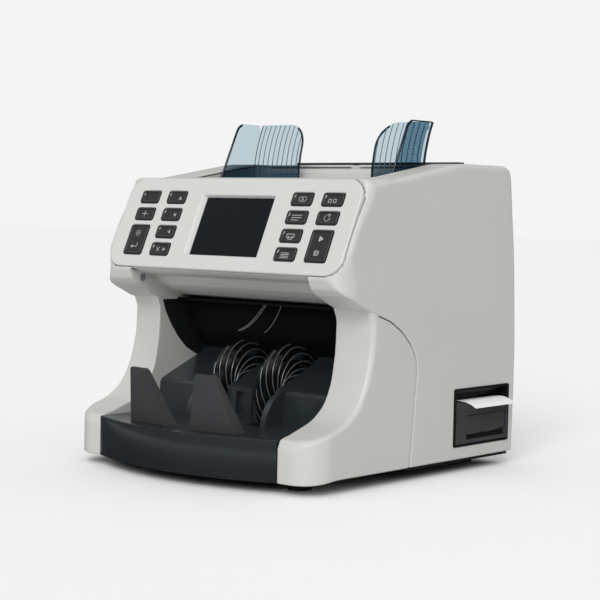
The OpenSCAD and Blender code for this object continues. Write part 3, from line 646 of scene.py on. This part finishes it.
def strokes(lines, width, low, high):
    """Thin raised bars along polylines: corner points and faces, as (across, along, out)."""
    pts, faces = [], []
    for line in lines:
        for (ax, ay), (bx, by) in zip(line[:-1], line[1:]):
            d = math.hypot(bx - ax, by - ay)
            ux, uy = (bx - ax) / d * width / 2, (by - ay) / d * width / 2
            n = len(pts)
            quad = [(ax - ux + uy, ay - uy - ux), (bx + ux + uy, by + uy - ux), (bx + ux - uy, by + uy + ux),
                    (ax - ux - uy, ay - uy + ux)]
            pts += [(px, py, low) for px, py in quad] + [(px, py, high) for px, py in quad]
            faces += [(n + 3, n + 2, n + 1, n), (n + 4, n + 5, n + 6, n + 7)]
            faces += [(n + i, n + (i + 1) % 4, n + 4 + (i + 1) % 4, n + 4 + i) for i in range(4)]
    return pts, faces


def key_cap(name, kx, ky, kh):
    """A cap with rounded edges and a dished top, with its number and icon raised in the dish."""
    h = 0.34
    lo, hi = (-KEY_W / 2 - 0.8, -kh / 2 - 0.8, -4.0), (KEY_W / 2 + 0.8, kh / 2 + 0.8, 1.9)
    u, v, w = axes(lo, hi, h)
    d = rmax(rrect(u, v, KEY_W / 2, kh / 2, 2.0), np.abs(w + 1.1) - 2.5, 0.6)
    dish = rmax(rrect(u, v, KEY_W / 2 - 1.9, kh / 2 - 1.4, 1.4), 1.02 - w, 0.5)
    d = rmax(d, -dish, 0.35)
    verts, quads = surface(d, lo, h)
    place = (kx, ky, 0)
    obj = quad_mesh("cap_" + name[4:], from_panel(verts + place), quads, [M["key_plastic"], MARK], keep=0.25)
    digit, icon = MARKS[name]
    number = [[(-8.0 + 1.15 * px, kh / 2 - 4.0 + 1.1 * py) for px, py in line]
              for line in DIGITS.get(digit, [])]
    points, faces = strokes(number + icon, MARK_W, MARK_LOW, MARK_HIGH)
    bm = bmesh.new()
    bm.from_mesh(obj.data)
    new = [bm.verts.new(Vector(p) * MM) for p in from_panel(np.array(points) + place)]
    for f in faces:
        bm.faces.new([new[i] for i in f]).material_index = 1
    bm.to_mesh(obj.data)
    bm.free()
    return obj


# Pocket, printer and stacker wheels --------------------------------------------------------------

def front_strip():
    """The bowed black strip across the front, with rounded edges."""
    section = [(0.0, 9.0), (0.0, 39.0), (0.25, 39.7), (0.9, 40.0), (2.5, 40.0), (2.5, 8.0), (0.9, 8.0),
               (0.25, 8.3)]
    bow, steps = 425, 72
    rings = []
    for i in range(steps + 1):
        x = -LINER + 2 * LINER * i / steps
        nx, ny = -2 * x / bow, 1.0
        k = 1 / math.hypot(nx, ny)
        rings.append([(x + s * nx * k, STRIP_FRONT + x * x / bow + s * ny * k, z) for s, z in section])
    return sweep("strip_front", rings, [M["glossy_black"]])


def throat():
    """Black ceiling and back of the pocket, down to the slot that the notes leave by; its black is darkened
    further as painted shade of the deep pocket.
    """
    profile = [(-46, 131), (-39.4, 130.6), (-34.6, 127.4), (-30.6, 118), (-26.4, 106.5), (-17, 95), (-5, 86),
               (-4, 88), (-15.6, 96.6), (-24.2, 108), (-28.2, 119), (-32, 129), (-38, 133.0), (-46, 133.2)]
    rings = [[(x, y, z) for y, z in profile] for x in (-LINER, -60, -20, 20, 60, LINER)]
    return sweep("throat_liner", rings, [BLACK_IN_SHADE], sharp=50)


def printer_grip():
    """Lever plate of the printer door: bowed lower edge, with a hollow for the fingertip."""
    h = 0.42
    lo, hi = (124.6, 59.6, 25.8), (128.6, 119.0, 46.6)
    x, y, z = axes(lo, hi, h)
    base = 29.9 + 2.6 * np.clip((y - 84) / 33, 0, 1) ** 2
    d = rmax(rrect(y - LEVER_Y, z - 36.4, 28.0, 8.7, 1.6), base - z, 0.6)
    d = rmax(d, np.abs(x - LEVER_X) - 0.8, 0.45)
    hollow = np.sqrt((y - 85.5) ** 2 + ((z - 29.0) * 1.7) ** 2 + ((x - 128.4) * 4.2) ** 2) - 7.6
    d = rmax(d, -hollow, 0.35)
    pin = np.maximum(np.hypot(x - LEVER_X, z - LEVER_Z) - 0.7, np.abs(y - LEVER_Y) - 29.2)
    d = np.minimum(d, pin)
    return quad_mesh("printer_grip", *surface(d, lo, h), [DOOR], keep=0.3)


def grip_painted_shadow():
    """Thin black plate under the printer's lever plate: a painted shadow over the door's grey recess floor beneath
    it.
    """
    h = 0.5
    lo, hi = (124.9, 59.8, 24.4), (127.4, 118.8, 32.4)
    x, y, z = axes(lo, hi, h)
    d = rmax(rrect(y - LEVER_Y, z - 28.4, 27.8, 2.3, 0.8), np.abs(x - 125.75) - 0.32, 0.2)
    return quad_mesh("grip_painted_shadow", *surface(d, lo, h), [HOUSING_BLACK_AND_SHADE], keep=0.4)


def screw_cap(sign):
    """Cross-head screw in the pocket's side wall, under the tab."""
    h = 0.3
    lo, hi = (92.6, -91.4, 145.9), (95.6, -82.6, 154.7)
    x, y, z = axes(lo, hi, h)
    v, w = y + 87.0, z - 150.3
    rad = np.hypot(v, w)
    d = rmax(rad - 3.1, POCKET - 0.7 - 0.05 * (9.6 - rad ** 2) - x, 0.3)
    d = rmax(d, x - 95.1, 0.2)
    cross = np.minimum(np.maximum(np.abs(v + w) - 0.75, np.abs(v - w) - 2.6),
                       np.maximum(np.abs(v - w) - 0.75, np.abs(v + w) - 2.6))
    d = rmax(d, -np.maximum(cross, x - 94.2), 0.2)
    return quad_mesh("wall_screw_" + side_name(sign), *handed(*surface(d, lo, h), sign), [FILM], keep=0.4)


def painted_shade_sheet(sign):
    """Dark sheet on the side wall of the pocket, round the rollers: painted shade, laid where the wall lies in the
    shadow under the panel.
    """
    profile = fillet([(-63, 131.6), (-59.5, 122), (-53, 111), (-45, 100.5), (-35, 91), (-22, 84), (-6, 84),
                      (-6, 131.6)], [0, 14, 20, 20, 20, 8, 0, 0])
    rings = [[(sign * x, y, z) for y, z in profile] for x in (94.55, 94.1)]
    return sweep("pocket_painted_shade_" + side_name(sign), rings, [SHADE_SHEET_BLACK], sharp=50)


FINS = 13
FIN_STEPS = 14
FIN_ROOT, FIN_R = 13.4, 26        # where a fin leaves the hub, and the radius of its curve
HUB = [(13.4, -5), (14, -4.4), (14, 4.4), (13.4, 5), (4.3, 5), (4.0, 4.7), (4.0, -4.7), (4.3, -5)]
HUB_STEPS = 40


def fin_section(t):
    """(off its middle, along the shaft) of a fin's eight corners, at t from 0 at its root to 1 at its tip."""
    half = 4.9 - 3.6 * max(0.0, t - 0.35) / 0.65
    thick = 0.62 - 0.17 * t
    soft, thin = half - 0.35, thick - 0.3
    return ((thick, -soft), (thick, soft), (thin, half), (-thin, half), (-thick, soft), (-thick, -soft),
            (-thin, -half), (thin, -half))


def fin_wheel(sign):
    """Stacker wheel: thirteen curved fins that narrow to their tips, on a bored hub; the fins' narrow edges and
    the hub's chamfers carry a lighter grey as a painted highlight.
    """
    verts, faces, painted_glint = [], [], []
    (cy, cz), cx = SHAFT, sign * 25.0
    for i in range(FINS):
        turn = math.radians(106.8 + i * 360 / FINS)
        n = len(verts)
        for k in range(FIN_STEPS + 1):
            t = k / FIN_STEPS
            a = math.radians(166 - 152 * t)
            for off, side in fin_section(t):
                u, w = FIN_ROOT + (FIN_R + off) * math.cos(a), (FIN_R + off) * math.sin(a)
                verts.append((cx + side, cy + u * math.cos(turn) - w * math.sin(turn),
                              cz + u * math.sin(turn) + w * math.cos(turn)))
        for k in range(FIN_STEPS):
            for j in range(8):
                p = n + k * 8
                faces.append((p + j, p + (j + 1) % 8, p + 8 + (j + 1) % 8, p + 8 + j))
                painted_glint.append(j not in (0, 4))
        faces += [tuple(n + j for j in range(7, -1, -1)), tuple(n + FIN_STEPS * 8 + j for j in range(8))]
        painted_glint += [False, True]
    n = len(verts)
    for k in range(HUB_STEPS):
        a = 2 * math.pi * k / HUB_STEPS
        verts += [(cx + dx, cy + r * math.cos(a), cz + r * math.sin(a)) for r, dx in HUB]
    for k in range(HUB_STEPS):
        for j in range(8):
            p, q = n + k * 8, n + (k + 1) % HUB_STEPS * 8
            faces.append((p + j, p + (j + 1) % 8, q + (j + 1) % 8, q + j))
            painted_glint.append(j in (0, 2))
    obj = solid("fin_wheel_" + side_name(sign), verts, faces, [WHEEL, FIN_PAINTED_GLINT], sharp=28)
    obj.data.polygons.foreach_set("material_index", np.array(painted_glint, np.int32))
    return obj


def film(name, x0, x1, lean):
    """A thin flexible strip that holds the notes down."""
    steps = 12
    rings = []
    for i in range(steps + 1):
        t = i / steps
        y, z = -47 - 27 * t, 131.4 - 19.5 * t - 3.2 * math.sin(math.pi * t)
        rings.append([(x0 + lean * t, y, z), (x1 + lean * t, y, z), (x1 + lean * t, y + 0.15, z + 0.35),
                      (x0 + lean * t, y + 0.15, z + 0.35)])
    return sweep(name, rings, [FILM])


# Note guides -------------------------------------------------------------------------------------

def guide_back(z):
    """How far back the curved back panel of a note guide is at a height."""
    curve = 152.0 - np.sqrt(110.0 ** 2 - (np.maximum(z, GUIDE_BEND) - 232.0) ** 2)
    return np.where(z < GUIDE_BEND, 42.8 - (GUIDE_BEND - z) / 2, curve)


def note_guide(sign):
    """Smoked guide: side plate and curved back panel in one skin, with a foot and a collar on the rail."""
    h = 0.6
    lo, hi = (37.8, -11.2, 201.2), (94.2, 57.4, 284.0)
    x, y, z = axes(lo, hi, h)
    wall = np.abs(y - guide_back(z) - 1.1) - 1.1
    face = rmax(rmax(GUIDE_X[0] - x, z - GUIDE_TOP, GUIDE_CORNER), rmax(x - GUIDE_X[1], 205.5 - z, 0.5), 0.5)
    back = rmax(wall, face, 0.7)
    outline = poly(fillet([(-9.4, 214.5), (2.6, 237.5), (23.0, 281.7), (50, 281.7), (50, 203.2), (29, 203.2),
                           (16, 204), (-6, 206.5)], [6, 60, 8, 0, 0, 4, 20, 3]), y, z)
    plate = rmax(rmax(outline, y - guide_back(z) - 2.2, 0.5), np.abs(x - 91.4) - 1.1, 0.7)
    d = rmin(back, plate, 1.5)
    foot = cube(x, y, z, (62, 36.2, 220.3), (80, 55.6, 222.7), 0.5)
    d = np.minimum(d, foot)
    rad = np.hypot(y - RAIL[0], z - RAIL[1])
    collar = np.maximum(rmax(rad - 6, np.abs(x - 71) - 9, 0.6), 3.06 - rad)
    d = np.minimum(d, collar)
    return quad_mesh("guide_shell_" + side_name(sign), *handed(*surface(d, lo, h), sign),
                     [M["smoked_plastic"]], keep=0.3)


def guide_trim(sign):
    """Ribs of the back panel and the guide's dark, light-trapping edges."""
    side = side_name(sign)

    def on_back(x, z, off):
        return sign * x, float(guide_back(np.float64(z))) + off, z

    bars = []
    for i in range(9):
        x = 42.6 + i * 5.4
        drop = max(0.0, GUIDE_X[0] + GUIDE_CORNER - x)
        top = GUIDE_TOP - 0.8 - (GUIDE_CORNER - math.sqrt(max(0.0, GUIDE_CORNER ** 2 - drop ** 2)))
        path = [on_back(x, 209 + (top - 209) * k / 12, -0.15) for k in range(13)]
        bars.append(tube("guide_rib_%s_%d" % (side, i), path, 0.34, [RIB]))
    front = [(-6, 206.5), (-9, 214.2), (-6.4, 220.3), (2.8, 237.8), (12.5, 258.8), (20.2, 275.4),
             (22.6, 278.6), (26.5, 281.2)]
    bars.append(tube("guide_edge_" + side, [(sign * 91.4, y + 0.6, z - 0.4) for y, z in front], 0.95, [EDGE]))
    end = [(39.9, z) for z in (206, 220, 232, 245, 256)]
    end += [(59.3 - 19.4 * math.cos(math.radians(a)), 262 + 19.4 * math.sin(math.radians(a)))
            for a in range(0, 61, 12)]
    bars.append(tube("guide_end_" + side, [on_back(x, z, 1.1) for x, z in end], 0.85, [EDGE]))
    fold = [on_back(91.7, z, 1.7) for z in range(206, 282, 5)]
    bars.append(tube("guide_fold_" + side, fold, 0.95 if sign > 0 else 0.35, [EDGE]))
    if sign > 0:
        bars.append(tube("guide_top_" + side, [(91.6, 27 + 3.0 * k, 281.4) for k in range(10)], 0.55, [EDGE]))
    return bars


# Camera, light and stage -------------------------------------------------------------------------

def camera():
    """A long lens at table height, off the front right corner."""
    az, el, roll = math.radians(40.4), math.radians(3.1), math.radians(1.2)
    back = Vector((math.sin(az) * math.cos(el), -math.cos(az) * math.cos(el), math.sin(el)))
    right = Vector((math.cos(az), math.sin(az), 0))
    up = back.cross(right)
    r = right * math.cos(roll) + up * math.sin(roll)
    u = -right * math.sin(roll) + up * math.cos(roll)
    data = bpy.data.cameras.new("camera")
    data.lens = 98.36
    data.sensor_width = 36
    cam = bpy.data.objects.new("camera", data)
    place = Matrix.Translation((0.8758, -1.0270, 0.2072))
    cam.matrix_world = place @ Matrix((r, u, back)).transposed().to_4x4()
    bpy.context.scene.collection.objects.link(cam)
    bpy.context.scene.camera = cam


def floor():
    """A white table; to glossy rays it shows a painted reflection instead, dark near and behind the machine and
    lighter further ahead, standing in for a darker room beyond the table's edge.
    """
    me = bpy.data.meshes.new("floor")
    half = 12.0
    corners = [(-half, -half, 0), (half, -half, 0), (half, half, 0), (-half, half, 0)]
    me.from_pydata(corners, [], [(0, 1, 2, 3)])
    plane = bpy.data.objects.new("floor", me)
    bpy.context.scene.collection.objects.link(plane)
    white = material("floor_white", (0.985, 0.985, 0.985), rough=0.9, spec=0.1, vary=0.004, scale=2, bump=0.0)
    nt = white.node_tree
    wire = nt.links.new
    place = node(nt, "SeparateXYZ")
    wire(nt.nodes["Texture Coordinate"].outputs["Object"], place.inputs["Vector"])
    # Painted reflection: the floor's colour for glossy rays, dark near and behind the machine and lighter from
    # 0.18 m to 0.5 m in front of it.
    ahead = node(nt, "MapRange", From_Min=-0.18, From_Max=-0.50)
    wire(place.outputs["Y"], ahead.inputs["Value"])
    room = colour_mix(nt, (0.03, 0.02, 0.02), (0.42, 0.50, 0.55))
    wire(ahead.outputs["Result"], room.inputs["Factor"])
    seen = colour_mix(nt)
    wire(node(nt, "LightPath").outputs["Is Glossy Ray"], seen.inputs["Factor"])
    wire(nt.nodes["Mix"].outputs["Result"], seen.inputs["A"])
    wire(room.outputs["Result"], seen.inputs["B"])
    wire(seen.outputs["Result"], nt.nodes["Principled BSDF"].inputs["Base Color"])
    me.materials.append(white)


def studio():
    """Soft light from above that fades towards the horizon, a plain backdrop, and one broad lamp."""
    world = bpy.data.worlds.new("studio")
    bpy.context.scene.world = world
    world.use_nodes = True
    nt = world.node_tree
    wire = nt.links.new
    sky = nt.nodes["Background"].inputs
    ray = node(nt, "LightPath").outputs
    # The backdrop is brighter and warmer through the smoked guides than seen directly.
    warm = colour_mix(nt, (1, 1, 1), (1, 0.76, 0.66))
    wire(ray["Transparent Depth"], warm.inputs["Factor"])
    wire(warm.outputs["Result"], sky["Color"])
    backdrop = node(nt, "MapRange", To_Min=0.905, To_Max=2.5)
    wire(ray["Transparent Depth"], backdrop.inputs["Value"])
    height = node(nt, "SeparateXYZ")
    wire(node(nt, "TexCoord").outputs["Generated"], height.inputs["Vector"])
    glow = node(nt, "MapRange", From_Max=0.8, To_Min=0.08, To_Max=0.74)
    glow.interpolation_type = "SMOOTHSTEP"
    wire(height.outputs["Z"], glow.inputs["Value"])
    pick = node(nt, "Mix")
    wire(ray["Is Camera Ray"], pick.inputs["Factor"])
    wire(glow.outputs["Result"], pick.inputs["A"])
    wire(backdrop.outputs["Result"], pick.inputs["B"])
    wire(pick.outputs["Result"], sky["Strength"])
    lamp = bpy.data.lights.new("front_sun", "SUN")
    lamp.energy = 1.9
    lamp.angle = math.radians(35)
    sun = bpy.data.objects.new("front_sun", lamp)
    sun.rotation_euler = Vector((-0.22, 0.38, -0.26)).to_track_quat("-Z", "Y").to_euler()
    bpy.context.scene.collection.objects.link(sun)


# Assembly ----------------------------------------------------------------------------------------

piece(casing(), "chassis", "white_casing", "main_cover")
piece(rear_hatch(), "rear_door", "white_casing", "rear_door")
piece(front_frame(1), "chassis", "white_casing", "front_frame")
piece(front_frame(-1), "chassis", "white_casing")
piece(panel_plate(), "chassis", "panel_white", "control_panel")
for name, kx, ky, kh in KEYS:
    piece(key_cap(name, kx, ky, kh), name, "key_plastic", name)
piece(front_strip(), "chassis", "glossy_black", "front_strip")
piece(throat(), "chassis", "black_plastic", "throat_guide")
piece(printer_grip(), "printer_lever", "dark_grey_plastic", "printer_lever")
piece(grip_painted_shadow(), "printer_door", "black_plastic")
for sign in (1, -1):
    piece(screw_cap(sign), "chassis", "steel")
    piece(painted_shade_sheet(sign), "chassis", "black_plastic")
    piece(fin_wheel(sign), "stacker", "black_plastic", "stacker_wheel_" + side_name(sign))
for name, x0, x1, lean in (("film_a", 4, 4.6, -3), ("film_b", 6, 6.5, -2), ("film_c", 22, 22.6, 7)):
    piece(film(name, x0, x1, lean), "chassis", "black_plastic")
for sign in (1, -1):
    body = "note_guide_" + side_name(sign)
    piece(note_guide(sign), body, "smoked_plastic", body)
    for trim in guide_trim(sign):
        piece(trim, body, "smoked_plastic")

# Widths of the bevels on the CAD nodes that stay in view, in millimetres.
BEVELS = {"stacker_tray": 0.7, "note_stop_left": 0.8, "note_stop_right": 0.8, "printer_housing": 0.4,
          "printer_door": 0.35, "door_handle": 0.6, "mains_inlet": 0.5, "power_rocker": 0.5,
          "port_plate": 0.4, "gap_knob": 0.6, "hopper_tray": 0.5, "feet": 0.8}
for name, width in BEVELS.items():
    bev = frame["nodes"][name].modifiers.new("edges", "BEVEL")
    bev.width = width * MM
    bev.segments = 2
    bev.limit_method = "ANGLE"
    bev.angle_limit = math.radians(35)
    bev.harden_normals = True

camera()
floor()
studio()
bpy.context.scene.view_settings.view_transform = "Standard"
bpy.context.scene.view_settings.look = "None"
